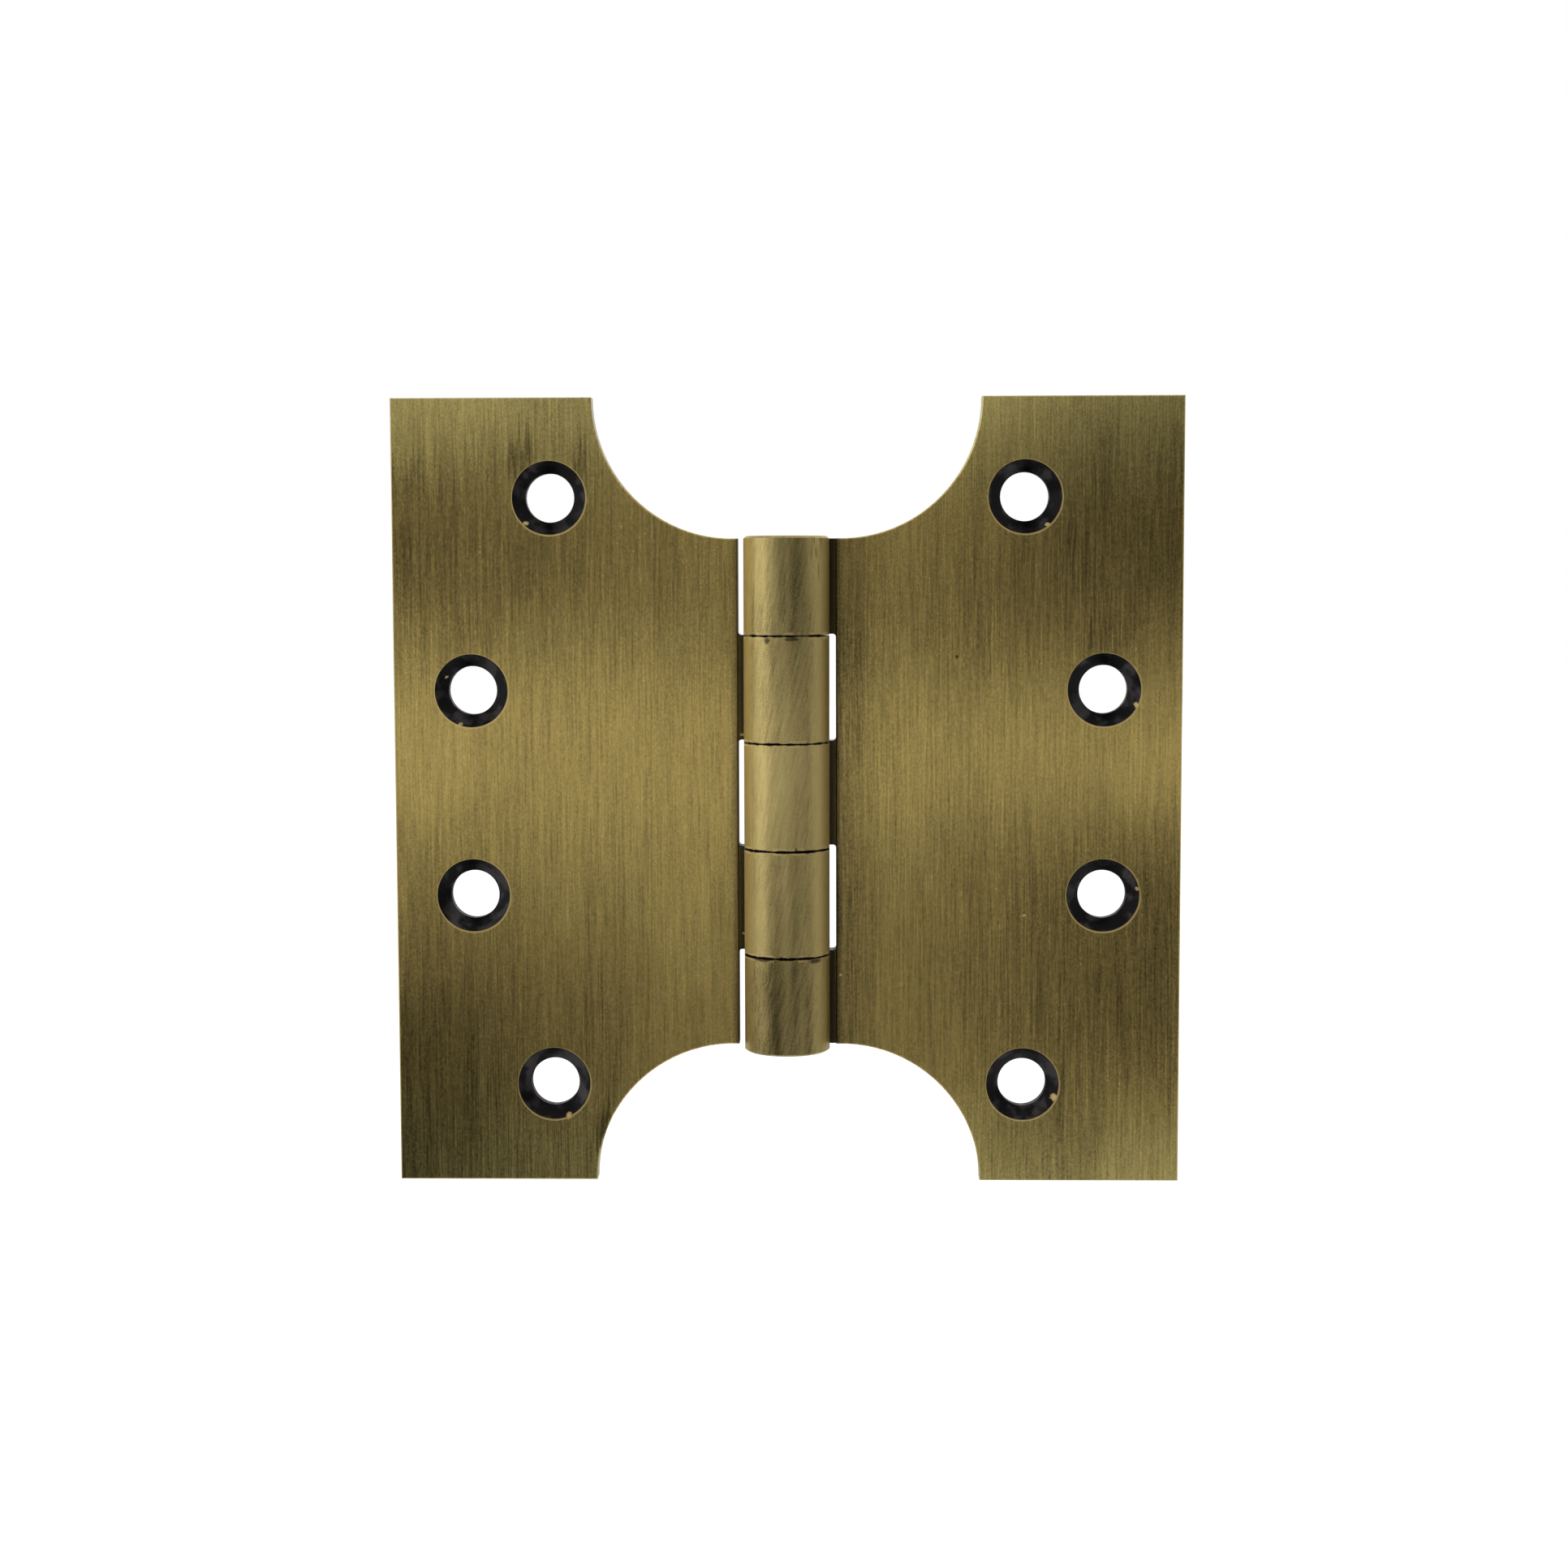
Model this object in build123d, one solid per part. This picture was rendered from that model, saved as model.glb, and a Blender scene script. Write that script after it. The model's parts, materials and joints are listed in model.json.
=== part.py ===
from build123d import *
from math import isclose
import os

# Parliament hinge: two brass leaves with wide flags, on a barrel of five knuckles round a steel pin
# The pin's axis is Z and its middle is the origin. The hinge lies open flat across X, and the
# screw heads and the barrel face -Y. All sizes are in millimetres

# The open hinge
OPEN_WIDTH = 102.0
LEAF_HEIGHT = 102.0
LEAF_THICKNESS = 3.0
LEAF_EDGE_BREAK = 0.15

# The pin
PIN_DIAMETER = 5.0
PIN_RECESS = 0.3
PIN_CHAMFER = 0.4

# The barrel
BARREL_DIAMETER = 11.0
BARREL_END_PROUD = 0.3
BARREL_END_ROUND = 0.6
KNUCKLE_COUNT = 5
INNER_KNUCKLE_PITCH = 13.7
KNUCKLE_GAP = 0.15
KNUCKLE_EDGE_BREAK = 0.1
RUNNING_CLEARANCE = 0.05

# The necks that join the knuckles to their leaf, and the slots between them
SLOT_CLEARANCE = 0.82
SLOT_CORNER_RADIUS = 0.4
NECK_RELIEF = 0.6
NECK_ROOT_RADIUS = 0.5

# The quarter-round bites at the top and bottom of each leaf
BITE_RADIUS = 18.1
BITE_FROM_SLOT_EDGE = 0.68

# The countersunk screw holes: a pair near the long edge and a pair near the bites
SCREW_HOLE_DIAMETER = 6.3
SCREW_HEAD_DIAMETER = 9.5
SCREW_HEAD_ANGLE = 90.0
EDGE_PAIR_INSET = 10.05
EDGE_PAIR_SPACING = 26.7
BITE_PAIR_INSET = 20.35
BITE_PAIR_END_INSET = 12.8

# Places worked out from the sizes above
BARREL_RADIUS = BARREL_DIAMETER / 2
PIN_RADIUS = PIN_DIAMETER / 2
HALF_HEIGHT = LEAF_HEIGHT / 2
HALF_WIDTH = OPEN_WIDTH / 2
LEAF_BACK = BARREL_RADIUS
LEAF_FRONT = LEAF_BACK - LEAF_THICKNESS
NECK_FRONT = LEAF_FRONT + NECK_RELIEF
SLOT_EDGE = BARREL_RADIUS + SLOT_CLEARANCE
BITE_CENTRE = SLOT_EDGE + BITE_FROM_SLOT_EDGE
SHOULDER = HALF_HEIGHT - BITE_RADIUS
HALF_BARREL = SHOULDER + BARREL_END_PROUD

# The leaves lie upright: a sketch on this plane is seen from the front, and grows towards it
BACK_PLANE = Plane.XZ.offset(-LEAF_BACK)
FRONT_PLANE = Plane.XZ.offset(-LEAF_FRONT)


def joint_lines():
    """The heights at which one knuckle ends and the next begins, with the barrel's own two ends."""
    inner = KNUCKLE_COUNT - 2
    lines = [INNER_KNUCKLE_PITCH * (place - inner / 2) for place in range(inner + 1)]
    return [-HALF_BARREL, *lines, HALF_BARREL]


def knuckle_spans(first):
    """The lowest and highest place of every second knuckle, counted from the bottom one up."""
    lines = joint_lines()
    spans = []
    for low, high in list(zip(lines, lines[1:]))[first::2]:
        # a joint line lies in the middle of its gap, and the barrel's ends have none
        bottom = low if low == lines[0] else low + KNUCKLE_GAP / 2
        top = high if high == lines[-1] else high - KNUCKLE_GAP / 2
        spans.append((bottom, top))
    return spans


def slot_spans(mate_first):
    """The room that one leaf leaves for the other's knuckles, open past the barrel's ends."""
    spans = []
    for low, high in knuckle_spans(mate_first):
        bottom = -HALF_HEIGHT if low == -HALF_BARREL else low - KNUCKLE_GAP
        top = HALF_HEIGHT if high == HALF_BARREL else high + KNUCKLE_GAP
        spans.append((bottom, top))
    return spans


def bite_prisms():
    """The two round cutters that take the bites out of a leaf."""
    cutters = Sketch() + [Pos(BITE_CENTRE, z) * Circle(BITE_RADIUS) for z in (HALF_HEIGHT, -HALF_HEIGHT)]
    return extrude(BACK_PLANE * cutters, BARREL_DIAMETER, both=True)


def slot_prisms(mate_first):
    """The slots with the small corner radius that their cutter leaves."""
    cutters = Sketch()
    for low, high in slot_spans(mate_first):
        slot = RectangleRounded(2 * SLOT_EDGE, high - low, SLOT_CORNER_RADIUS)
        cutters += Pos(0, (low + high) / 2) * slot
    return extrude(BACK_PLANE * cutters, BARREL_DIAMETER, both=True)


def flag():
    """The flat part of a leaf, outside the slots, with its sharp edges just broken."""
    blank = Rectangle(HALF_WIDTH - SLOT_EDGE, LEAF_HEIGHT, align=(Align.MIN, Align.CENTER))
    plate = extrude(BACK_PLANE * Pos(SLOT_EDGE, 0) * blank, LEAF_THICKNESS) - bite_prisms()
    front_edges = plate.faces().sort_by(Axis.Y)[0].edges()
    back_edges = plate.faces().sort_by(Axis.Y)[-1].edges()
    # the inner edge of the back runs on into the necks, so it stays square
    back_edges -= back_edges.sort_by(Axis.X)[:1]
    return chamfer(front_edges + back_edges, LEAF_EDGE_BREAK)


def necks(mate_first):
    """The strip between flag and barrel: the drawn section less the bites and slots."""
    barrel = Circle(BARREL_RADIUS)
    web = Rectangle(SLOT_EDGE, LEAF_BACK - NECK_FRONT, align=(Align.MIN, Align.MIN))
    section = barrel + Pos(0, NECK_FRONT) * web
    root = section.vertices().filter_by(lambda v: 0 < v.X < SLOT_EDGE).sort_by(Axis.Y)[0]
    section = fillet(root, NECK_ROOT_RADIUS)
    strip = extrude(section, SHOULDER, both=True)
    return strip - bite_prisms() - slot_prisms(mate_first)


def at_barrel_end(edge):
    """Whether an edge lies in one of the barrel's two end faces."""
    return isclose(abs(edge.center().Z), HALF_BARREL)


def knuckle(low, high):
    """One length of the barrel: rounded where it is the barrel's end, just broken elsewhere."""
    body = Pos(0, 0, (low + high) / 2) * Cylinder(BARREL_RADIUS, high - low)
    rims = body.edges().filter_by(GeomType.CIRCLE)
    body = chamfer(rims.filter_by(at_barrel_end, reverse=True), KNUCKLE_EDGE_BREAK)
    ends = body.edges().filter_by(at_barrel_end)
    return fillet(ends, BARREL_END_ROUND) if ends else body


def screw_places():
    """The four screws of a leaf, as places across and up its front."""
    edge_x = HALF_WIDTH - EDGE_PAIR_INSET
    bite_x = HALF_WIDTH - BITE_PAIR_INSET
    edge_z = EDGE_PAIR_SPACING / 2
    bite_z = HALF_HEIGHT - BITE_PAIR_END_INSET
    return [(x, z * sign) for x, z in ((edge_x, edge_z), (bite_x, bite_z)) for sign in (1, -1)]


def leaf(first, mate_first, bore_radius):
    """A whole leaf on the +X side: flag, necks and knuckles in one piece, bored and drilled."""
    body = flag() + necks(mate_first)
    for low, high in knuckle_spans(first):
        body += knuckle(low, high)
    body -= Cylinder(bore_radius, LEAF_HEIGHT)
    hole_radius, head_radius = SCREW_HOLE_DIAMETER / 2, SCREW_HEAD_DIAMETER / 2
    sink = CounterSinkHole(hole_radius, head_radius, 2 * LEAF_THICKNESS, SCREW_HEAD_ANGLE)
    for x, z in screw_places():
        body -= FRONT_PLANE * Pos(x, z) * sink
    return body


def hinge_pin():
    """The plain pin, a little short of the barrel's ends, with a lead at both of its own."""
    length = 2 * (HALF_BARREL - PIN_RECESS)
    pin = Cylinder(PIN_RADIUS, length)
    return chamfer(pin.edges().filter_by(GeomType.CIRCLE), PIN_CHAMFER)


def build_parts():
    """The three pieces, by name. The frame leaf has the outer knuckles and grips the pin."""
    frame_leaf = leaf(0, 1, PIN_RADIUS)
    door_leaf = mirror(leaf(1, 0, PIN_RADIUS + RUNNING_CLEARANCE), about=Plane.YZ)
    return {"frame_leaf": frame_leaf, "door_leaf": door_leaf, "hinge_pin": hinge_pin()}


os.makedirs("parts", exist_ok=True)
for name, part in build_parts().items():
    export_step(part, f"parts/{name}.step")
    size = part.bounding_box().size
    print(f"{name}: {part.volume:.1f} mm3, {size.X:.2f} x {size.Y:.2f} x {size.Z:.2f} mm")
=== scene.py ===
# %% [markdown]
# # A brushed brass parliament hinge
#
# This hinge hangs a door so that it swings clear of its frame. It has two flat brass leaves, shaped like
# flags, and a barrel of five knuckles that turn on a hidden steel pin. Its shape is already finished: it
# was drawn in a CAD program, and the script loads it and never moves it. What is left to make here is
# everything that the eye reads as antique brass: the dark finish, the brush marks, the black that stays in
# the countersinks and beside the barrel, and the studio that the metal mirrors.

import json
from math import cos, pi, radians, sin
from types import SimpleNamespace

import bpy
from mathutils import Matrix, Vector


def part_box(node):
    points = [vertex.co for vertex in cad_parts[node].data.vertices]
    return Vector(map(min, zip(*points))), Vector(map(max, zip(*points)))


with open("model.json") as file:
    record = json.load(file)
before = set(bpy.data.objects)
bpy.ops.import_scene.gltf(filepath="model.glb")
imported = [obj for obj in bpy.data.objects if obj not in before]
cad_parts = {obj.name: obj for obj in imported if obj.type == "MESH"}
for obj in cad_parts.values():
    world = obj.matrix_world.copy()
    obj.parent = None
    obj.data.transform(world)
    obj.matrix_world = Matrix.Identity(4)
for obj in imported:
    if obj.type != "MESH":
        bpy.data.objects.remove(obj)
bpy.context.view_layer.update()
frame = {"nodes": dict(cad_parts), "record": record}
print("pieces:", sorted(frame["nodes"]))

# %% [markdown]
# ## The camera
#
# The picture that we match was taken from close by: 33 centimetres in front of the hinge, 3 centimetres
# above its middle, and tipped down by five degrees. A camera that is tipped down draws upright lines
# together towards the foot, which is why the leaves' outer edges lean inwards there. A camera could be
# moved by eye until it looks right. It is surer to work its place out from points whose sizes are known,
# such as screw holes and corners, and then to type it in once.

# %% Place the camera
# metres for the place and for where sight begins, degrees for the turns, millimetres for lens and sensor
CAMERA_PLACE = (0.00698, -0.330, 0.02919)
CAMERA_TURN = 1.274
CAMERA_TILT = -4.811
CAMERA_LEAN = 0.151
LENS = 59.08
SENSOR = 36.0
SIGHT_BEGINS = 0.01

camera_data = bpy.data.cameras.new("camera")
camera_data.lens = LENS
camera_data.sensor_width = SENSOR
camera_data.clip_start = SIGHT_BEGINS
camera = bpy.data.objects.new("camera", camera_data)
bpy.context.scene.collection.objects.link(camera)
bpy.context.scene.camera = camera

# a camera looks down its own -Z, so it is first stood up by a quarter turn, then leaned, tilted and turned
stood_up = Matrix.Rotation(pi / 2, 4, "X")
leaned = Matrix.Rotation(radians(CAMERA_LEAN), 4, "Y") @ stood_up
tilted = Matrix.Rotation(radians(CAMERA_TILT), 4, "X") @ leaned
turned = Matrix.Rotation(radians(CAMERA_TURN), 4, "Z") @ tilted
camera.matrix_world = Matrix.Translation(CAMERA_PLACE) @ turned
print("camera stands", round(Vector(CAMERA_PLACE).length, 3), "m from the pin's middle")
print("and looks along", tuple(round(c, 3) for c in -camera.matrix_world.col[2].xyz))

# %% [markdown]
# ## A short way to write materials
#
# A material in Blender is a net of nodes. The net can be wired by hand in the shader editor, but a finish
# with this many layers is easier to read as sums. So a small class holds one material's net. Its main
# method adds a node and fills its inputs in order, each with a number or with a wire from another node.
# The next two cells build on it.

# %% A material's net
class Net:
    """One material's nodes, and the wires between them."""

    def __init__(self, name):
        self.material = bpy.data.materials.new(name)
        self.material.use_nodes = True
        self.nodes = self.material.node_tree.nodes
        self.links = self.material.node_tree.links
        self.nodes.clear()

    def fill(self, socket, value):
        """Puts a number in an input, or joins another node's output to it."""
        if isinstance(value, bpy.types.NodeSocket):
            self.links.new(value, socket)
        else:
            socket.default_value = value

    def node(self, kind, *values, **options):
        """Adds a node, sets its options, and fills its inputs in order."""
        made = self.nodes.new("ShaderNode" + kind)
        for option, value in options.items():
            setattr(made, option, value)
        for socket, value in zip(made.inputs, values):
            self.fill(socket, value)
        return made


# %% [markdown]
# ### Sums
#
# Most of the net is arithmetic with numbers that differ from point to point. Each method below adds one
# node for each step and hands back its output, so that the next sum can go on from there.

# %% Sums on the net
class SumNet(Net):
    """A net that can reckon."""

    def math(self, operation, *values):
        return self.node("Math", *values, operation=operation).outputs[0]

    def add(self, first, *others):
        for other in others:
            first = self.math("ADD", first, other)
        return first

    def times(self, first, *others):
        for other in others:
            first = self.math("MULTIPLY", first, other)
        return first

    def vector(self, operation, *values):
        made = self.node("VectorMath", *values, operation=operation)
        return made.outputs["Value" if operation in ("DISTANCE", "LENGTH") else "Vector"]


# %% [markdown]
# ### Fades, blends and grain
#
# A fade is a soft step, such as the edge of a patch. A blend lays one colour over another, by an amount,
# and between does the same with numbers. Blender's Mix node has inputs for both kinds side by side, so
# each method uses its own two. Grain is noise that is squeezed across the hinge and stretched along it,
# which turns Blender's round noise into brush marks. Its offset picks another stretch of the same noise.

# %% Fades, blends and grain
# which of the Mix node's inputs take numbers, and which take colours
MIX_NUMBERS = (2, 3)
MIX_COLOURS = (6, 7)


class Finish(SumNet):
    """A net with the tools that a metal finish needs."""

    def fade(self, value, start, end):
        """0 up to start, 1 from end on, and a soft step between them. It falls where end is below start."""
        return self.node("MapRange", value, start, end, interpolation_type="SMOOTHSTEP").outputs[0]

    def blend(self, amount, first, second):
        """The first colour where amount is 0, and the second where it is 1."""
        made = self.node("Mix", amount, data_type="RGBA")
        for number, colour in zip(MIX_COLOURS, (first, second)):
            self.fill(made.inputs[number], colour)
        return made.outputs[2]

    def between(self, amount, first, second):
        """The first number where amount is 0, and the second where it is 1."""
        made = self.node("Mix", amount)
        for number, value in zip(MIX_NUMBERS, (first, second)):
            self.fill(made.inputs[number], value)
        return made.outputs[0]

    def grain(self, place, across, along, detail=2.0, offset=0.0):
        """Noise round 0, with so many marks to the millimetre across the brushing and along it."""
        stretched = self.vector("MULTIPLY", place, (across, across, along))
        moved = self.vector("ADD", stretched, (offset, offset, offset))
        noise = self.node("TexNoise", moved)
        noise.inputs["Scale"].default_value = 1.0
        noise.inputs["Detail"].default_value = detail
        return self.math("SUBTRACT", noise.outputs[0], 0.5)


# %% [markdown]
# ## Where things are on the hinge
#
# Object coordinates give each point of the metal its place in the CAD frame, and they turn with the leaf
# when the hinge folds. Scaled to millimetres they can be compared with the drawing: a point within 4.75 mm
# of a screw's axis lies in its countersink, and so on. A painted image could mark the same spots, but it
# would need unwrapping, and it would blur up close.

# %% Sizes that the finish follows, in millimetres
MM = 1000
LEAF_THICKNESS = 3.0
PIN_RECESS = 0.3
KNUCKLE_PITCH = 13.7
SLOT_CLEARANCE = 0.82
SINK_RADIUS = 4.75

lowest_corner, highest_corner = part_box("door_leaf")
BARREL_RADIUS = -lowest_corner.y * MM
LEAF_BACK = highest_corner.y * MM
LEAF_FRONT = LEAF_BACK - LEAF_THICKNESS
SLOT_EDGE = BARREL_RADIUS + SLOT_CLEARANCE
HALF_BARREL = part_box("hinge_pin")[1].z * MM + PIN_RECESS
KNUCKLE_JOINTS = (KNUCKLE_PITCH / 2, 3 * KNUCKLE_PITCH / 2)
print("barrel radius", round(BARREL_RADIUS, 2), "half its length", round(HALF_BARREL, 2))
print("knuckle joints", KNUCKLE_JOINTS, "above and below the middle")


# %% The screws' axes
def screw_axes(mounts):
    """Each pair of screw holes as its place across and up the leaf, from the frame leaf's mounts."""
    pairs = [mount for mount in mounts if mount["name"] in ("frame_edge_screws", "frame_bite_screws")]
    return [(mount["pos_m"][0] * MM, mount["dims"]["spacing_y_mm"] / 2) for mount in pairs]


SCREWS = screw_axes(frame["record"]["mounts"])
print("screws across and up:", [(round(across, 2), round(up, 2)) for across, up in SCREWS])


# %% [markdown]
# ### A point's place, and how far it is from things
#
# The hinge is nearly the same in a mirror, left to right and top to bottom. Taking x and z without their
# signs folds the four corners onto one, so two distances find all eight screw holes, and two more find
# all four joints between the knuckles.

# %% Places as the material sees them
def places(finish):
    """The point's place in millimetres, as a vector and as three numbers, and how far it faces up."""
    coordinates = finish.node("TexCoord")
    place = finish.vector("MULTIPLY", coordinates.outputs["Object"], (MM, MM, MM))
    x, y, z = finish.node("SeparateXYZ", place).outputs
    upward = finish.node("SeparateXYZ", coordinates.outputs["Normal"]).outputs[2]
    return SimpleNamespace(place=place, x=x, y=y, z=z, upward=upward)


def from_screw(finish, x, z):
    """How far a point is from the nearest screw's axis."""
    across = finish.math("ABSOLUTE", x)
    up = finish.math("ABSOLUTE", z)
    folded = finish.node("CombineXYZ", across, 0.0, up).outputs[0]
    near, far = [finish.vector("DISTANCE", folded, (screw_x, 0, screw_z)) for screw_x, screw_z in SCREWS]
    return finish.math("MINIMUM", near, far)


def from_joint(finish, z):
    """How far a point is, along the pin, from the nearest joint between two knuckles."""
    up = finish.math("ABSOLUTE", z)
    near, far = [finish.math("ABSOLUTE", finish.add(up, -joint)) for joint in KNUCKLE_JOINTS]
    return finish.math("MINIMUM", near, far)


# %% [markdown]
# ### Front, back and barrel
#
# The finish differs from one part of the hinge to another. Three masks tell them apart, each 1 inside its
# part and 0 outside. They could be separate materials on chosen faces, but then every border between them
# would be hard, and here the finish runs on from one to the next. Here and further down, the small number
# added to a size says where a soft edge begins or ends, in millimetres from that size. A soft edge with a
# name of its own is a pair of numbers, where it begins and where it is complete.

# %% Masks for the parts of the hinge
def find_parts(finish, here):
    """Adds which part of the hinge a point lies on, and how far it is from a screw's axis."""
    here.off_screw = from_screw(finish, here.x, here.z)
    here.not_back = finish.fade(here.y, LEAF_BACK - 0.05, LEAF_BACK - 0.15)
    here.front = finish.fade(here.y, LEAF_FRONT + 0.9, LEAF_FRONT + 0.3)
    from_pin = finish.vector("LENGTH", finish.node("CombineXYZ", here.x, here.y, 0.0).outputs[0])
    here.barrel = finish.fade(from_pin, BARREL_RADIUS + 0.15, BARREL_RADIUS + 0.05)


# %% [markdown]
# ## Antique brass
#
# The real leaves are solid brass. They were dipped until they turned nearly black, then brushed along
# the pin so that the brass shows through again, and lacquered. Three things make the look. The brush
# leaves fine upright streaks, light where it cut through and dark where it didn't. It never reached into
# the countersinks, the slots and the corners beside the barrel, so those stay black. And the grooves
# stretch every reflection sideways, which is why soft dark bands lie across both leaves.
#
# So the metal is one Principled shader with full metallic. The streaks are noise that mixes bare brass
# with dark finish, the black is laid over them where the drawing says, and the stretched reflections come
# from the shader's anisotropic setting. The steps below make one of these after the other.

# %% Colours of the finish
BARE_BRASS = (0.51, 0.382, 0.122, 1)
# a painted reflection tint for the leaves' ends
OLIVE_REFLECTION_BRASS = (0.47, 0.385, 0.135, 1)
# a painted sheen for the barrel, in place of the lacquer's pale shine
PALE_SHEEN_BRASS = (0.46, 0.40, 0.21, 1)
RUBBED_BRASS = (0.62, 0.46, 0.19, 1)
DARK_FINISH = (0.055, 0.042, 0.018, 1)
# painted highlights in the black countersinks
CHARCOAL_HIGHLIGHT = (0.050, 0.046, 0.046, 1)
BLACK_FINISH = (0.011, 0.010, 0.011, 1)
print("bare brass is", round(BARE_BRASS[1] / DARK_FINISH[1], 1), "times as light as the dark finish")

# %% [markdown]
# ## Brush marks
#
# A close look shows marks of several widths. The finest were left by single bristles, and they lie over
# broader and fainter ones. Each row below is one such layer, as marks to the millimetre across, marks to
# the millimetre along, and strength. The last row is nearly as fine along as across, for the pores that
# the dip left. One noise with more detail would be simpler, but its marks would all have one shape.

# %% Layers of brush marks
BRUSH_LAYERS = (
    (0.9, 0.030, 0.34),
    (3.3, 0.085, 0.72),
    (6.5, 0.25, 0.50),
    (4.5, 3.60, 0.72),
)
MEAN_BARENESS = 0.62
for across, along, strength in BRUSH_LAYERS:
    print("marks", round(1 / across, 2), "mm wide and", round(1 / along, 1), "mm long, strength", strength)


# %% Lay the layers over each other
def brush_marks(finish, place, layers):
    """How much brass the brush laid bare, as marks round 0."""
    total = 0.0
    for number, (across, along, strength) in enumerate(layers):
        # each layer has its own stretch of noise, so that no two of them run alike
        layer = finish.grain(place, across, along, offset=7.7 * number + 3.1)
        total = finish.add(total, finish.times(layer, strength))
    return total


# %% [markdown]
# ### Brush marks on the barrel
#
# The barrel is round, and its marks differ from the leaves'. Broad upright bands lie under fine marks
# that lean a little, as if each knuckle had been rolled under the brush. Shearing the place before it
# goes into the noise makes the marks lean and keeps their width.

# %% Leaning marks
BARREL_BANDS = (
    (0.8, 0.05, 0.46),
    (0.6, 0.14, 0.22),
)
BARREL_LAYERS = (
    (2.4, 0.16, 0.45),
    (5.5, 0.40, 0.36),
    (4.5, 3.60, 0.40),
)
BARREL_LEAN = 0.25


def barrel_marks(finish, here):
    """The barrel's upright bands with the leaning marks over them."""
    sheared = finish.add(here.x, finish.times(here.z, -BARREL_LEAN))
    leaning = finish.node("CombineXYZ", sheared, here.y, here.z).outputs[0]
    bands = brush_marks(finish, here.place, BARREL_BANDS)
    return finish.add(bands, brush_marks(finish, leaning, BARREL_LAYERS))


# %% [markdown]
# ## Darker and lighter patches: uneven finish and painted reflection
#
# Some patches are darker than the rest and some lighter. Beside the screw holes and on the top knuckle more
# of the dark finish is left. The larger patches, at the leaves' corners, ends and outer edges, round the
# right leaf's upper bite and on the lowest knuckle, are painted reflection: they darken or lighten the
# brass where it would mirror darker or lighter things. Chance can't put such patches where they belong, so
# they are listed by where they lie on the hinge, in millimetres across and up from the pin's middle, with
# how far they reach and how much they darken the brass, below zero where they lighten it. Noise frays their
# edges, mostly along the brushing.

# %% An oval spot
SPOT_CORE = 0.45


def spot(finish, place, centre, reach):
    """1 in the core of an oval on the front, given across and up, and 0 outside it."""
    moved = finish.vector("SUBTRACT", place, (centre[0], 0, centre[1]))
    scaled = finish.vector("MULTIPLY", moved, (1 / reach[0], 0, 1 / reach[1]))
    return finish.fade(finish.vector("LENGTH", scaled), 1.0, SPOT_CORE)


# %% Patches
# the small patches beside the holes are uneven finish; the larger ones at corners, edges, the bite and the
# lowest knuckle are painted reflection
FINISH_AND_REFLECTION_PATCHES = {
    "upper left hole, left of its top": ((-34.4, 42.8), (2.3, 4.6), 0.27),
    "upper left hole, right of its top": ((-26.6, 41.8), (1.4, 3.0), 0.22),
    "lowest knuckle, left of its middle": ((-2.4, -27.0), (3.2, 9.0), 0.06),
    "lower left hole, right of its foot": ((-24.4, -43.8), (1.5, 3.6), 0.35),
    "upper right hole, beside its foot": ((36.5, 33.0), (1.0, 3.0), 0.18),
    "left leaf, above its upper edge hole": ((-41.0, 20.5), (4.5, 3.0), 0.08),
    "right leaf, above its upper edge hole": ((41.0, 20.5), (4.5, 3.0), 0.12),
    "left leaf, lower outer corner": ((-47.0, -40.0), (12.0, 22.0), 0.10),
    "right leaf, below its lower hole": ((34.0, -46.0), (11.0, 11.0), 0.20),
    "top knuckle, right of its top": ((4.0, 32.3), (1.0, 1.5), 0.50),
    "left leaf, left of its lower bite": ((-23.7, -32.0), (4.5, 14.0), 0.09),
    "left leaf, beside its lower slot": ((-13.2, -19.0), (4.5, 13.0), -0.10),
    "upper left hole, below it": ((-33.5, 30.5), (4.0, 6.0), 0.12),
    "right leaf, round its upper bite": ((7.0, 51.0), (35.0, 35.0), -0.25),
    "left leaf, upper outer corner": ((-46.0, 49.5), (14.0, 9.0), -0.13),
    "left leaf, middle of its outer edge": ((-47.0, 4.0), (9.0, 12.0), -0.11),
    "right leaf, middle of its outer edge": ((47.0, 2.0), (9.0, 7.0), -0.11),
}
FRAY_ACROSS = 1.5
FRAY_ALONG = 22.0
print(len(FINISH_AND_REFLECTION_PATCHES), "patches, the darkest", max(depth for _, _, depth in FINISH_AND_REFLECTION_PATCHES.values()))


def finish_and_reflection_tone(finish, place):
    """How much darker the patches make the brass, as uneven finish and as painted reflection. It is below
    zero where they lighten it.
    """
    ragged = finish.grain(place, 2.4, 0.06, offset=11.0)
    across = finish.times(ragged, FRAY_ACROSS)
    along = finish.times(ragged, FRAY_ALONG)
    frayed = finish.vector("ADD", place, finish.node("CombineXYZ", across, 0.0, along).outputs[0])
    patches = [finish.times(spot(finish, frayed, centre, reach), depth)
               for centre, reach, depth in FINISH_AND_REFLECTION_PATCHES.values()]
    return finish.add(*patches)


# %% [markdown]
# ### From knuckle to knuckle
#
# Each knuckle has its own tone, and the lowest is the darkest: partly uneven finish, partly painted shade
# that tones down the knuckles' highlights. Towards both sides of the barrel the brass is made lighter, a
# painted reflection of the brighter things that the round barrel would mirror there. The right leaf is made
# darker towards its inner edge, as painted shade beside the barrel.

# %% Tones of the barrel and the inner edge, with painted reflection and shade
# partly uneven finish, partly painted shade that dims the knuckles' highlights
KNUCKLE_TONES = (-0.28, -0.08, -0.03, -0.18, -0.26)
TONE_STEP = 0.1

# where each of these begins and where it is complete, in millimetres across
LEFT_SIDE = (-3.9, -5.2)
RIGHT_SIDE = (3.0, 5.0)
# the inner edge's darkening is painted shade beside the barrel
INNER_EDGE = (13.5, 7.5)
OFF_BARREL = (4.6, 5.6)

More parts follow.
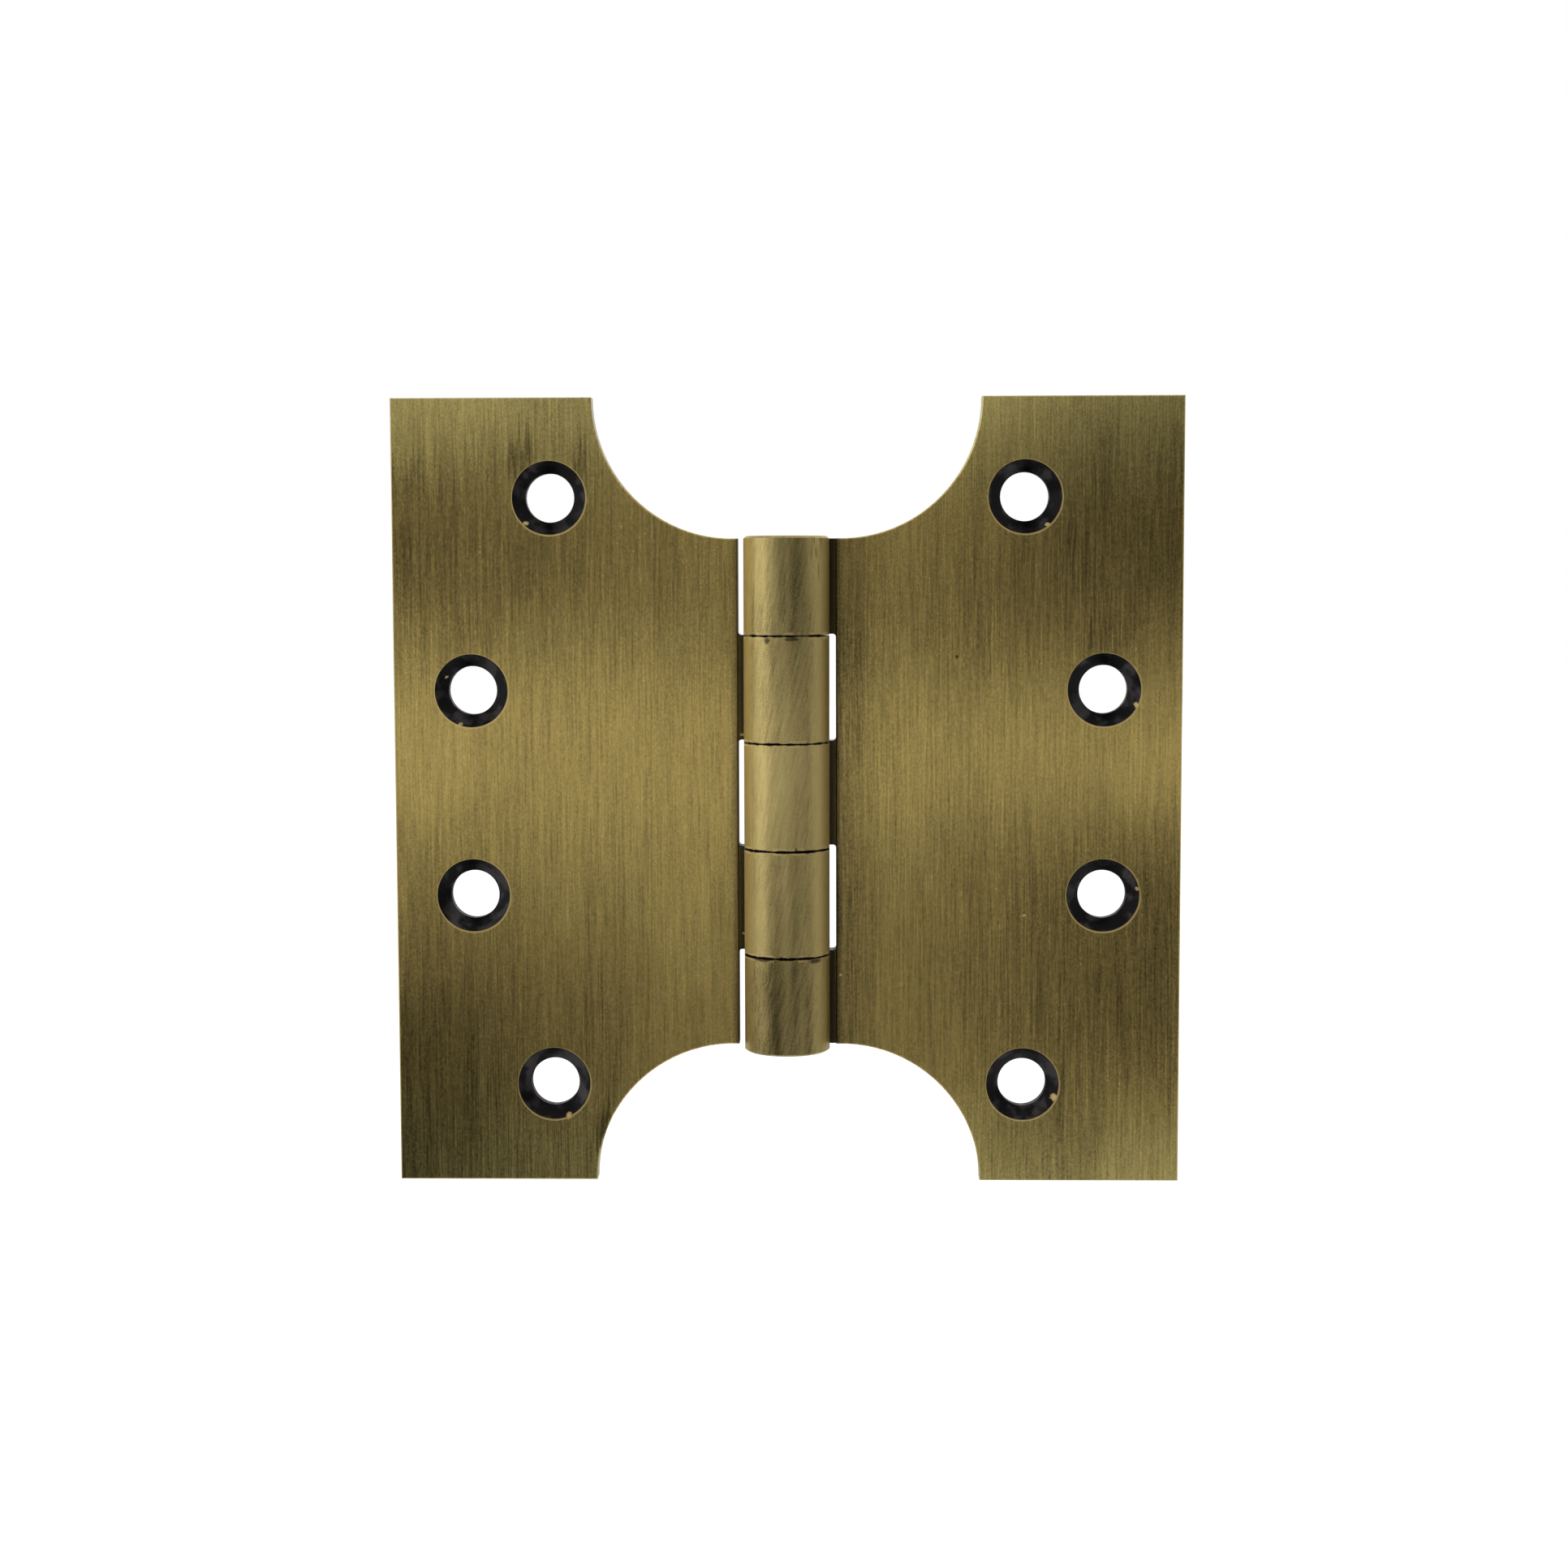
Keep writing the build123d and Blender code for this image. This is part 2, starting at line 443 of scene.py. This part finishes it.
# how much each of them changes the tone
# the two side tones are painted reflection, lighter where the round barrel mirrors brighter things
LEFT_SIDE_SHEEN = 0.40
RIGHT_SIDE_SHEEN = 0.55
INNER_EDGE_SHADE = 0.30

JOINT_HEIGHTS = sorted([-joint for joint in KNUCKLE_JOINTS] + list(KNUCKLE_JOINTS))
print("the tone changes at", JOINT_HEIGHTS)


def knuckle_tone(finish, z):
    """How much lighter each knuckle is than the leaves, counted from the lowest one up: partly uneven
    finish, partly painted shade on the knuckles' highlights.
    """
    tone = KNUCKLE_TONES[0]
    for joint, below, above in zip(JOINT_HEIGHTS, KNUCKLE_TONES, KNUCKLE_TONES[1:]):
        past_joint = finish.fade(z, joint - TONE_STEP, joint + TONE_STEP)
        tone = finish.add(finish.times(past_joint, above - below), tone)
    return tone


# painted reflection on the barrel's sides
def side_sheen(finish, x):
    """Painted reflection: how much lighter the barrel is made towards its left and right sides."""
    left = finish.times(finish.fade(x, *LEFT_SIDE), LEFT_SIDE_SHEEN)
    right = finish.times(finish.fade(x, *RIGHT_SIDE), RIGHT_SIDE_SHEEN)
    return finish.add(left, right)


def inner_edge_shade(finish, x):
    """Painted shade: how much darker the right leaf is made towards the barrel."""
    return finish.times(finish.fade(x, *INNER_EDGE), finish.fade(x, *OFF_BARREL), INNER_EDGE_SHADE)


# %% [markdown]
# ### All of it together
#
# One number now says how bare the brass is at each point, and it also carries the painted reflection and
# shade of the patches, the knuckles, the barrel's sides and the right leaf's inner edge. Everything above
# is added up in it and clamped, so that no place is barer than bare.

# %% How bare the brass is, with painted reflection and shade added
def bareness_and_painted_light(finish, here):
    """0 where all the dark finish is left, and 1 where all of it is gone, with painted reflection and shade
    in it too.
    """
    leaf_marks = brush_marks(finish, here.place, BRUSH_LAYERS)
    streaks = finish.between(here.barrel, leaf_marks, barrel_marks(finish, here))
    barrel_tone_and_sheen = finish.add(knuckle_tone(finish, here.z), side_sheen(finish, here.x))
    on_barrel = finish.times(barrel_tone_and_sheen, here.barrel)
    # the patches and the inner edge: partly uneven finish, partly painted reflection and shade
    darker = finish.add(finish_and_reflection_tone(finish, here.place), inner_edge_shade(finish, here.x))
    darker_front = finish.times(darker, here.front)
    total = finish.math("SUBTRACT", finish.add(streaks, MEAN_BARENESS, on_barrel), darker_front)
    return finish.node("Clamp", total).outputs[0]


# %% [markdown]
# ## Black where the brush didn't reach
#
# A stiff brush rides over hollows. The countersinks, the corners between the barrel and the necks, the
# ends of the slots and the joints between the knuckles are as black as they came out of the dip. Blender
# can find hollows by itself, with an ambient occlusion node, but it would also darken faces that the
# brush did reach, and the drawing already says where the hollows are.

# %% Countersinks and corners
CORNER_STRENGTH = 0.9


def black_sinks(finish, here):
    """1 in the countersinks and their holes."""
    return finish.fade(here.off_screw, SINK_RADIUS + 0.03, SINK_RADIUS - 0.05)


def black_corners(finish, here):
    """How black the necks beside the barrel are. It fades out on the leaf's inner edge."""
    aside = finish.math("ABSOLUTE", here.x)
    past_barrel = finish.fade(aside, BARREL_RADIUS - 0.45, BARREL_RADIUS + 0.05)
    before_leaf = finish.fade(aside, SLOT_EDGE + 1.2, SLOT_EDGE - 0.5)
    behind_front = finish.fade(here.y, LEAF_FRONT - 1.2, LEAF_FRONT - 0.05)
    return finish.times(past_barrel, before_leaf, behind_front, CORNER_STRENGTH)


# %% Slot ends and knuckle joints
FACING_UP = (0.5, 0.8)
JOINT_LINE = (0.22, 0.12)
JOINT_UNEVENNESS = 0.5
THINNER_ABOVE = 0.05


def black_slot_ends(finish, here):
    """1 on the faces that look up or down inside the slots, but not on the barrel's two ends."""
    level = finish.fade(finish.math("ABSOLUTE", here.upward), *FACING_UP)
    in_slot = finish.fade(finish.math("ABSOLUTE", here.x), SLOT_EDGE + 0.2, SLOT_EDGE + 0.05)
    inside = finish.fade(finish.math("ABSOLUTE", here.z), HALF_BARREL - 0.3, HALF_BARREL - 0.5)
    return finish.times(level, in_slot, inside)


def black_joints(finish, here):
    """1 along the joints between the knuckles. The line is uneven, and thinner in the upper half."""
    uneven = finish.times(finish.grain(here.place, 0.9, 0.9, offset=23.0), JOINT_UNEVENNESS)
    thinner = finish.times(finish.fade(here.z, -2.0, 2.0), THINNER_ABOVE)
    off_joint = finish.add(from_joint(finish, here.z), uneven, thinner)
    on_barrel = finish.fade(finish.math("ABSOLUTE", here.x), BARREL_RADIUS + 0.3, BARREL_RADIUS + 0.1)
    return finish.times(finish.fade(off_joint, *JOINT_LINE), on_barrel)


# %% All the black
def black_places(finish, here):
    """How much black is left at each point. On the back only the joints between knuckles have any."""
    front = finish.math("MAXIMUM", black_sinks(finish, here), black_corners(finish, here))
    front = finish.times(front, here.not_back)
    hidden = finish.math("MAXIMUM", black_slot_ends(finish, here), black_joints(finish, here))
    return finish.math("MAXIMUM", front, hidden)


# %% [markdown]
# ## Nicks and marks
#
# Where something scraped the hard edge of a countersink, bright brass shows in the black. And a few small
# dark marks are left beside the joints, where the brush skipped a burr. Both are lists of small ovals,
# placed like the patches, and one function draws both.

# %% Bright nicks and dark marks
NICKS = {
    "upper left hole": ((-33.66, 34.93), (0.42, 0.36)),
    "left leaf, upper edge hole, foot": ((-42.41, 9.02), (0.34, 0.30)),
    "left leaf, upper edge hole, left": ((-44.23, 15.15), (0.20, 0.20)),
    "lower left hole": ((-28.74, -42.50), (0.50, 0.50)),
    "upper right hole": ((33.50, 34.60), (0.36, 0.36)),
    "right leaf, upper edge hole": ((45.10, 11.40), (0.40, 0.45)),
    "right leaf, lower edge hole": ((45.40, -12.50), (0.34, 0.34)),
    "lower right hole": ((34.75, -40.00), (0.52, 0.58)),
    "neck of the second knuckle": ((-5.89, 7.60), (0.35, 0.25)),
    "neck of the fourth knuckle": ((-5.67, -18.41), (0.35, 0.25)),
    "right leaf, under its edge holes": ((30.77, -15.98), (0.22, 0.22)),
    "right leaf, beside the lowest knuckle": ((6.93, -23.78), (0.25, 0.25)),
}
DARK_MARKS = {
    "right leaf, above its middle": ((21.93, 17.67), (0.30, 0.30)),
    "second knuckle, top left": ((-2.43, 19.95), (0.45, 0.55)),
    "second knuckle, top middle": ((0.85, 20.20), (1.30, 0.35)),
    "fourth knuckle, top middle": ((1.30, -6.60), (0.20, 0.50)),
    "lowest knuckle, top left": ((-3.00, -20.70), (1.60, 0.40)),
    "lowest knuckle, top right": ((3.70, -20.95), (0.90, 0.45)),
}
DARK_MARK_STRENGTH = 0.8
MARK_RAGGEDNESS = 0.5
print(len(NICKS), "bright nicks and", len(DARK_MARKS), "dark marks")


def marks(finish, place, listed):
    """1 in the small marks of a list. Their edges are a little ragged."""
    uneven = finish.times(finish.grain(place, 2.6, 2.6, offset=17.0), MARK_RAGGEDNESS)
    frayed = finish.vector("ADD", place, finish.node("CombineXYZ", uneven, 0.0, uneven).outputs[0])
    spots = [spot(finish, frayed, centre, reach) for centre, reach in listed.values()]
    most = spots[0]
    for other in spots[1:]:
        most = finish.math("MAXIMUM", most, other)
    return most


# %% [markdown]
# ## Rubbed edges, with painted highlights on the rings
#
# Sharp edges lose their finish first. Round each countersink runs a thin bright ring of rubbed brass, and a
# painted highlight makes it widest at its lower right, where the rounded edge would catch the light from
# above. So the ring is drawn as the gap between two circles, and the outer one is shifted down and right by
# about a tenth of a millimetre. The knuckles' lips beside the joints are rubbed too, in patches.

# %% Rings and lips
# the shift is a painted highlight: it widens each ring at its lower right
HIGHLIGHT_SHIFT = (0.04, -0.09)
RING_STRENGTH = 0.65
LIP = (0.50, 0.36)
LIP_STRENGTH = 0.5
LIP_PATCHES = (-0.02, 0.08)


def rubbed_and_lit_rings(finish, here):
    """1 on the bright rings round the countersinks: rubbed brass, with a painted highlight at their lower
    right.
    """
    shifted_x = finish.add(here.x, -HIGHLIGHT_SHIFT[0])
    shifted_z = finish.add(here.z, -HIGHLIGHT_SHIFT[1])
    outer = finish.fade(from_screw(finish, shifted_x, shifted_z), SINK_RADIUS + 0.20, SINK_RADIUS + 0.08)
    inner = finish.fade(here.off_screw, SINK_RADIUS - 0.03, SINK_RADIUS + 0.03)
    return finish.times(outer, inner, here.not_back)


def rubbed_lips(finish, here):
    """1 on the rubbed stretches of the knuckles' lips."""
    patchy = finish.fade(finish.grain(here.place, 0.7, 0.1, offset=31.0), *LIP_PATCHES)
    return finish.times(finish.fade(from_joint(finish, here.z), *LIP), here.barrel, patchy)


# %% All the rubbed brass
OUT_OF_JOINT = (0.12, 0.24)


def rubbed_and_lit_places(finish, here):
    """How much bright brass shows at nicks, rings and lips, and none of it down in the joints. The rings'
    lower right is a painted highlight.
    """
    nicked = finish.times(marks(finish, here.place, NICKS), here.not_back)
    ringed = finish.times(rubbed_and_lit_rings(finish, here), RING_STRENGTH)
    lipped = finish.times(rubbed_lips(finish, here), LIP_STRENGTH)
    most = finish.math("MAXIMUM", finish.math("MAXIMUM", nicked, ringed), lipped)
    return finish.times(most, finish.fade(from_joint(finish, here.z), *OUT_OF_JOINT))


# %% [markdown]
# ## The brass's colour
#
# The layers go on in the order in which the real ones came about: dark finish and brass by the brushing,
# then the black, then what was rubbed bare. Towards the leaves' ends the brass is made a little more olive,
# a painted tint of what it mirrors there, and on the barrel paler, a painted sheen in place of the
# lacquer's pale shine. In the countersinks the black is lighter in places and looks charcoal: painted
# highlights.

# %% Colours over each other
# how much painted sheen makes the barrel paler
SHEEN_PALENESS = 0.45
# where the painted olive reflection tint begins and is complete, in millimetres up and down
OLIVE_REFLECTION_ENDS = (33.0, 50.0)
# where the painted highlights in the countersinks begin and are complete
SINK_GLINT_FADE = (-0.06, 0.16)


def brass_colour(finish, here, bare, black, rubbed):
    """The colour at each point, layer over layer."""
    # painted reflection tint towards the leaves' ends
    olive_reflection = finish.fade(finish.math("ABSOLUTE", here.z), *OLIVE_REFLECTION_ENDS)
    colour = finish.blend(bare, DARK_FINISH, finish.blend(olive_reflection, BARE_BRASS, OLIVE_REFLECTION_BRASS))
    # painted sheen: the barrel is made paler
    colour = finish.blend(finish.times(here.barrel, bare, SHEEN_PALENESS), colour, PALE_SHEEN_BRASS)
    # painted highlights: the countersinks' black is made charcoal in places
    sink_glints = finish.fade(finish.grain(here.place, 0.45, 0.45, offset=29.0), *SINK_GLINT_FADE)
    glints_in_sinks = finish.times(sink_glints, black_sinks(finish, here))
    colour = finish.blend(black, colour, finish.blend(glints_in_sinks, BLACK_FINISH, CHARCOAL_HIGHLIGHT))
    colour = finish.blend(rubbed, colour, RUBBED_BRASS)
    marked = finish.times(marks(finish, here.place, DARK_MARKS), here.front, DARK_MARK_STRENGTH)
    return finish.blend(marked, colour, BLACK_FINISH)


# %% [markdown]
# ## Grooves and the stretched shine
#
# Brushed metal shines in a streak across its grooves, because each groove is a tiny mirror that is curved
# that way. Modelling the grooves would need millions of faces. The shader's anisotropic setting stretches
# the reflections instead, and its tangent, given as the pin's own direction, says which way. A very low
# bump then breaks the streak up a little, as grooves of uneven depth do.

# %% Grooves as bump
# the depth is in metres, and the other two are grooves to the millimetre
GROOVE_DEPTH = 0.000012
GROOVES_ACROSS = 4.0
GROOVES_ALONG = 0.12


def brushed_surface(finish, place):
    """The surface's direction with the brush's grooves in it."""
    grooved = finish.node("Bump")
    grooved.inputs["Distance"].default_value = GROOVE_DEPTH
    finish.fill(grooved.inputs["Height"], finish.grain(place, GROOVES_ACROSS, GROOVES_ALONG, offset=2.2))
    return grooved.outputs["Normal"]


def along_pin(finish):
    """The pin's direction. It leans a hair, so that it is never square on to a knuckle's end face."""
    leaned_pin = (0.01, 0.02, 1.0)
    turned_pin = finish.node("VectorTransform", leaned_pin, vector_type="VECTOR", convert_from="OBJECT",
                             convert_to="WORLD")
    return turned_pin.outputs[0]


# %% How rough the brass is
SMOOTHEST = 0.158
ROUGHER_BRASS = 0.12
ROUGHER_BARREL = 0.07
ROUGHER_BLACK = 0.12
ROUGHER_RUBBED = 0.25


def brass_roughness(finish, here, bare, black, rubbed):
    """How matt each point is: least where dark finish lies under the lacquer, most where it is rubbed."""
    return finish.add(
        SMOOTHEST,
        finish.times(bare, ROUGHER_BRASS),
        finish.times(here.barrel, ROUGHER_BARREL),
        finish.times(black, ROUGHER_BLACK),
        finish.times(rubbed, ROUGHER_RUBBED),
    )


# %% The brass
STRETCH = 0.85
STRETCH_TURN = 0.25


def antique_brass():
    """The finished material of both leaves."""
    finish = Finish("antique_brass")
    here = places(finish)
    find_parts(finish, here)
    # bare holds the brushing and also the painted reflection and shade added in it
    bare = bareness_and_painted_light(finish, here)
    black = black_places(finish, here)
    # rubbed holds worn brass and the painted highlight on the rings' lower right
    rubbed = rubbed_and_lit_places(finish, here)
    shader = finish.node("BsdfPrincipled")
    shader.inputs["Metallic"].default_value = 1.0
    shader.inputs["Anisotropic"].default_value = STRETCH
    shader.inputs["Anisotropic Rotation"].default_value = STRETCH_TURN
    finish.fill(shader.inputs["Base Color"], brass_colour(finish, here, bare, black, rubbed))
    finish.fill(shader.inputs["Roughness"], brass_roughness(finish, here, bare, black, rubbed))
    finish.fill(shader.inputs["Normal"], brushed_surface(finish, here.place))
    finish.fill(shader.inputs["Tangent"], along_pin(finish))
    finish.node("OutputMaterial", shader.outputs[0])
    return finish.material


brass = antique_brass()
print("nodes in the brass:", len(brass.node_tree.nodes))

# %% [markdown]
# ## The pin
#
# Only the pin's two ends show, sunk a little in the barrel's ends. It is ground steel that took some of
# the dark finish, so it is grey and duller than the brass. Round noise is enough here: a ground end has no
# direction that the eye could follow at this size.

# %% Make the pin's steel
DARK_STEEL = (0.10, 0.095, 0.085, 1)
GROUND_STEEL = (0.30, 0.29, 0.26, 1)
STEEL_CLOUDS = 2.5
HALF_GROUND = 0.5
DULLEST_STEEL = 0.5
SMOOTHER_GROUND = -0.15


def pin_steel():
    """Darkened steel, smoother where it is ground bare."""
    finish = Finish("pin_steel")
    cloudy = finish.grain(places(finish).place, STEEL_CLOUDS, STEEL_CLOUDS, detail=4.0)
    ground = finish.node("Clamp", finish.add(cloudy, HALF_GROUND)).outputs[0]
    colour = finish.blend(ground, DARK_STEEL, GROUND_STEEL)
    roughness = finish.add(DULLEST_STEEL, finish.times(ground, SMOOTHER_GROUND))
    shader = finish.node("BsdfPrincipled", colour, 1.0, roughness)
    finish.node("OutputMaterial", shader.outputs[0])
    return finish.material


steel = pin_steel()
print("nodes in the steel:", len(steel.node_tree.nodes))


# %% Put the finishes on the pieces
def dress(node_name, material):
    """Gives every face of a CAD piece one material."""
    mesh = frame["nodes"][node_name].data
    mesh.materials.clear()
    mesh.materials.append(material)
    print(node_name, "is now", material.name)


dress("frame_leaf", brass)
dress("door_leaf", brass)
dress("hinge_pin", steel)

# %% [markdown]
# ## The studio
#
# Metal has hardly any colour of its own in a picture: it shows what stands round it. This hinge stands in
# a white studio, so the world is plain white, and a pale floor closes it from below. A picture of a real
# studio could light it too, but a plain world keeps the colours as they are written.

# %% A white world
world = bpy.data.worlds.new("studio")
bpy.context.scene.world = world
world.use_nodes = True
background = world.node_tree.nodes["Background"]
background.inputs["Color"].default_value = (1, 1, 1, 1)
background.inputs["Strength"].default_value = 1.0
print("the world is white, with a strength of", background.inputs["Strength"].default_value)

# %% [markdown]
# ### The floor
#
# The floor is matt and pale, and it catches the hinge's faint shadow. A matt floor alone would look
# greyer than the white behind it. So it glows a little, but only for the rays that see it: those from the
# camera and those that the metal mirrors. The light that falls on the hinge stays the same.

# %% Lay the floor
FLOOR_HEIGHT = -0.15
FLOOR_SIZE = 6.0
FLOOR_COLOUR = (0.8, 0.8, 0.8, 1)
FLOOR_GLOW = 0.3


def plane(name, width, height):
    """A flat rectangle about its own middle, which is no part of the hinge."""
    corners = [(u * width / 2, v * height / 2, 0) for u, v in ((-1, -1), (1, -1), (1, 1), (-1, 1))]
    mesh = bpy.data.meshes.new(name)
    mesh.from_pydata(corners, [], [(0, 1, 2, 3)])
    made = bpy.data.objects.new(name, mesh)
    bpy.context.scene.collection.objects.link(made)
    return made


def floor_white():
    """Matt white with a glow that only the camera and reflections see."""
    finish = Finish("floor_white")
    rays = finish.node("LightPath").outputs
    seen = finish.math("MAXIMUM", rays["Is Camera Ray"], rays["Is Glossy Ray"])
    seen = finish.math("MAXIMUM", seen, rays["Is Transmission Ray"])
    matt = finish.node("BsdfDiffuse", FLOOR_COLOUR).outputs[0]
    glow = finish.node("Emission", (1, 1, 1, 1), finish.times(seen, FLOOR_GLOW)).outputs[0]
    finish.node("OutputMaterial", finish.node("AddShader", matt, glow).outputs[0])
    return finish.material


floor = plane("floor", FLOOR_SIZE, FLOOR_SIZE)
floor.location.z = FLOOR_HEIGHT
floor.data.materials.append(floor_white())
print("the floor lies", -FLOOR_HEIGHT, "m below the pin's middle")

# %% [markdown]
# ### Lamps
#
# Light that comes from everywhere makes things look flat. Two large soft lamps add a little shape: a
# stronger one on the left, which gives the barrel its bright stripe, and a weak one on the right. Being
# large, they leave no hard glints. They stay far below the level at which pale brass would clip.

# %% Hang the lamps
LAMP_SIZE = 1.0


def lamp(name, place, watts):
    """A square soft lamp that faces the hinge and doesn't show itself to the camera."""
    data = bpy.data.lights.new(name, "AREA")
    data.size = LAMP_SIZE
    data.energy = watts
    made = bpy.data.objects.new(name, data)
    bpy.context.scene.collection.objects.link(made)
    made.location = place
    made.rotation_euler = (-Vector(place)).to_track_quat("-Z", "Y").to_euler()
    made.visible_camera = False
    print(name, round(Vector(place).length, 2), "m away,", watts, "W")


lamp("left_lamp", place=(-1.0, -0.45, 0.35), watts=2.8)
lamp("right_lamp", place=(1.1, -0.5, 0.3), watts=0.5)

# %% [markdown]
# ### Grey cards
#
# Two soft dark bands lie across each leaf in the picture, with a bright one between them. They aren't in
# the brass: they are reflections of darker things in front of it. A photographer makes such bands on
# purpose with cards. Dark boxes would do the same here, but they would also shade the hinge. So each card
# is a graded filter: its middle dims what is seen through it and its edges are clear. The camera doesn't
# see it, and neither does the light that matt things scatter. Of the lamps, only the weak right one shines
# through a card's middle, the side card's, and loses part of its light there.

# %% A card for reflections
CARD_CORE = 0.3


def grey_card(name, place, turn, size, shade, roll=0):
    """A filter that dims what reflections see through it by shade. It turns about Z and rolls about Y."""
    finish = Finish(name)
    across, up, _ = finish.node("SeparateXYZ", finish.node("TexCoord").outputs["Object"]).outputs
    covers = [finish.fade(finish.math("ABSOLUTE", part), length / 2, CARD_CORE * length / 2)
              for part, length in zip((across, up), size)]
    clear = finish.math("SUBTRACT", 1.0, finish.times(*covers, shade))
    finish.node("OutputMaterial", finish.node("BsdfTransparent", clear).outputs[0])
    card = plane(name, *size)
    card.location = place
    card.rotation_euler = (pi / 2, radians(roll), radians(turn))
    card.data.materials.append(finish.material)
    card.visible_camera = False
    card.visible_diffuse = False
    print(name, "dims by", shade)


# %% [markdown]
# #### Cards in front
#
# Four cards make the four dark bands. Each row gives a card's middle across and up, its width and height
# in metres, how much it dims, and how far it is rolled. The grooves smear reflections sideways, so only
# a card's height and its place up and down show sharply, and long cards serve as well as short ones.

# %% Stand the front cards
CARD_DISTANCE = 0.20
FRONT_CARDS = {
    "upper_left_card": ((-0.088, 0.035), (0.280, 0.072), 0.87, 0),
    "upper_right_card": ((0.140, 0.046), (0.400, 0.092), 0.95, -9),
    "lower_left_card": ((-0.130, -0.112), (0.340, 0.244), 0.96, 0),
    "lower_right_card": ((0.068, -0.055), (0.142, 0.106), 0.97, 0),
}
for name, ((across, up), size, shade, roll) in FRONT_CARDS.items():
    grey_card(name, place=(across, -CARD_DISTANCE, up), turn=0, size=size, shade=shade, roll=roll)

# %% [markdown]
# #### Cards beside and behind
#
# The barrel's right half mirrors what stands to the right of the hinge, and it is darker than its left
# half, so one card stands there. When the hinge is turned round, its back would mirror nothing but white
# and lose its form. A last card behind it gives the back a band like the front's.

# %% Stand the other cards
SIDE_CARD_TURN = 58
side_x = CARD_DISTANCE * sin(radians(SIDE_CARD_TURN))
side_y = -CARD_DISTANCE * cos(radians(SIDE_CARD_TURN))
grey_card("side_card", place=(side_x, side_y, 0), turn=SIDE_CARD_TURN, size=(0.28, 0.60), shade=0.55)
grey_card("back_card", place=(0.0, 0.30, -0.06), turn=0, size=(0.70, 0.20), shade=0.6)

# %% [markdown]
# ## Finish
#
# The picture keeps Blender's plain colour transform, so that a colour shows as it was written.

# %% Keep the plain colour transform
bpy.context.scene.view_settings.view_transform = "Standard"
